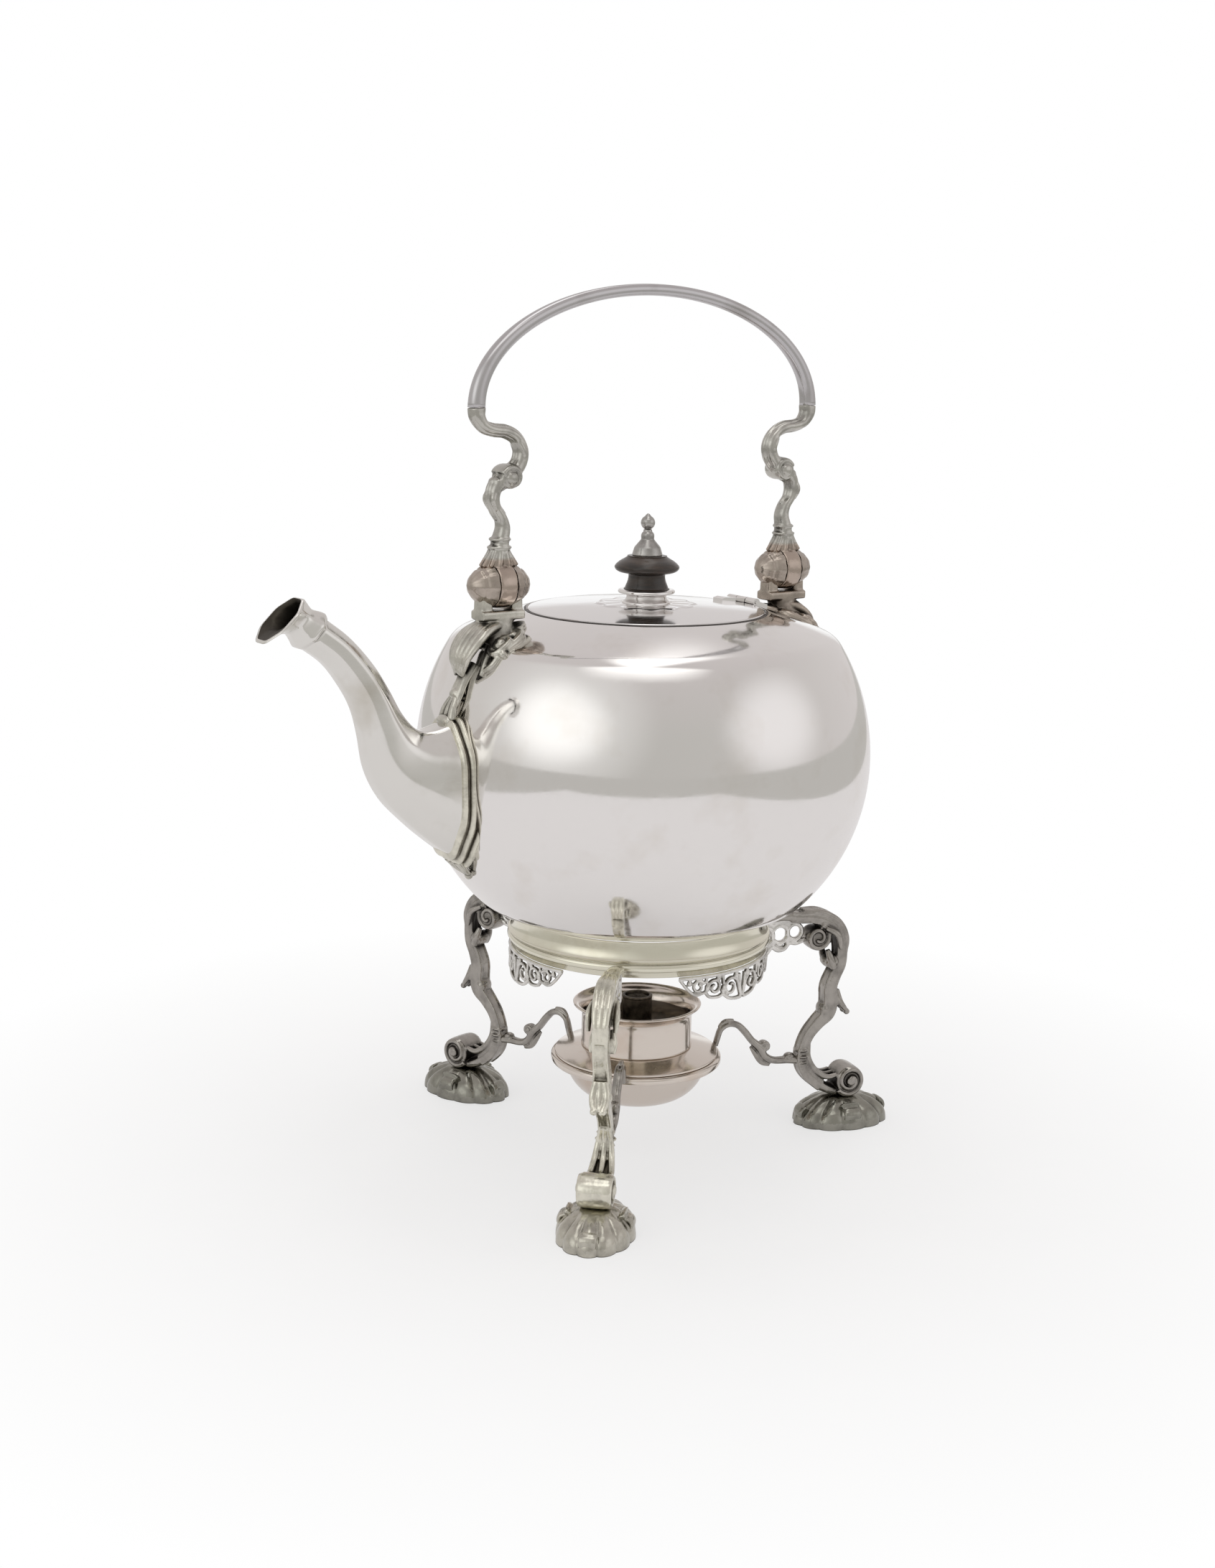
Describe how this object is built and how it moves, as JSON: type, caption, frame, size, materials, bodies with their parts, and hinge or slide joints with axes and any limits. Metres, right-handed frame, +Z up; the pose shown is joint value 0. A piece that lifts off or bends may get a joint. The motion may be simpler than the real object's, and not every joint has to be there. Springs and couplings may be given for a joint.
{
  "type": "spirit kettle on stand",
  "caption": "Silver tea kettle with raised bail handle, curved spout and hinged lid, on a scroll-legged stand that holds a spirit lamp below it.",
  "frame": {"origin": "on the kettle's upright axis at floor level, in the middle of the three feet", "axes": "+Z up, spout towards -X, lid hinge towards +X, handle in the XZ plane"},
  "size_m": [0.2796, 0.202, 0.347],
  "materials": {
    "polished_silver": "polished silver plate with soft wear",
    "cast_silver": "cast silver, bright on the high places and darkened in the recesses",
    "warm_silver": "polished silver with a warm tarnish",
    "dark_wood": "turned hardwood, nearly black, waxed",
    "dark_metal": "heat-darkened metal",
    "wick_cotton": "charred cotton"
  },
  "bodies": {
    "stand": {"stand_ring": "polished_silver", "lamp_ring": "warm_silver", "apron_left": "cast_silver", "apron_rear": "cast_silver", "apron_front": "cast_silver", "leg_front": "cast_silver", "foot_front": "cast_silver", "lamp_arm_front": "cast_silver", "leg_left": "cast_silver", "foot_left": "cast_silver", "lamp_arm_left": "cast_silver", "leg_right": "cast_silver", "foot_right": "cast_silver", "lamp_arm_right": "cast_silver"},
    "kettle": {"kettle_body": "polished_silver", "kettle_shoulder": "polished_silver", "mouth_bezel": "polished_silver", "spout": "polished_silver", "spout_root": "polished_silver", "spout_tip": "polished_silver", "front_lug": "cast_silver", "rear_lug": "cast_silver", "front_bail_pin": "cast_silver", "rear_bail_pin": "cast_silver", "lid_hinge_leaf": "polished_silver"},
    "bail": {"bail_bow": "polished_silver", "bail_scroll_front": "cast_silver", "bail_scroll_rear": "cast_silver"},
    "lid": {"lid": "polished_silver", "lid_flange": "polished_silver", "lid_hinge_strap": "polished_silver", "lid_hinge_pin": "polished_silver", "finial_base": "polished_silver", "finial_disc": "dark_wood", "finial_cap": "polished_silver", "finial_stud": "polished_silver", "finial_nut": "polished_silver"},
    "lamp": {"lamp_bowl": "warm_silver"},
    "burner": {"lamp_cover": "warm_silver", "burner_plate": "warm_silver", "wick_tube": "dark_metal", "wick": "wick_cotton"}
  },
  "joints": [
    {"name": "kettle_lift", "type": "slide", "parent": "stand", "child": "kettle", "axis": [0, 0, 1], "range_m": [0, 0.06]},
    {"name": "bail_swing", "type": "hinge", "parent": "kettle", "child": "bail", "pos_m": [0, 0, 0.2355], "axis": [1, 0, 0], "range_deg": [-85, 85]},
    {"name": "lid_hinge", "type": "hinge", "parent": "kettle", "child": "lid", "pos_m": [0.0485, 0, 0.2231], "axis": [0, 1, 0], "range_deg": [0, 50]},
    {"name": "lamp_lift", "type": "slide", "parent": "stand", "child": "lamp", "axis": [0, 0, 1], "range_m": [0, 0.018]},
    {"name": "burner_pull", "type": "slide", "parent": "lamp", "child": "burner", "axis": [0, 0, 1], "range_m": [0, 0.01]}
  ]
}
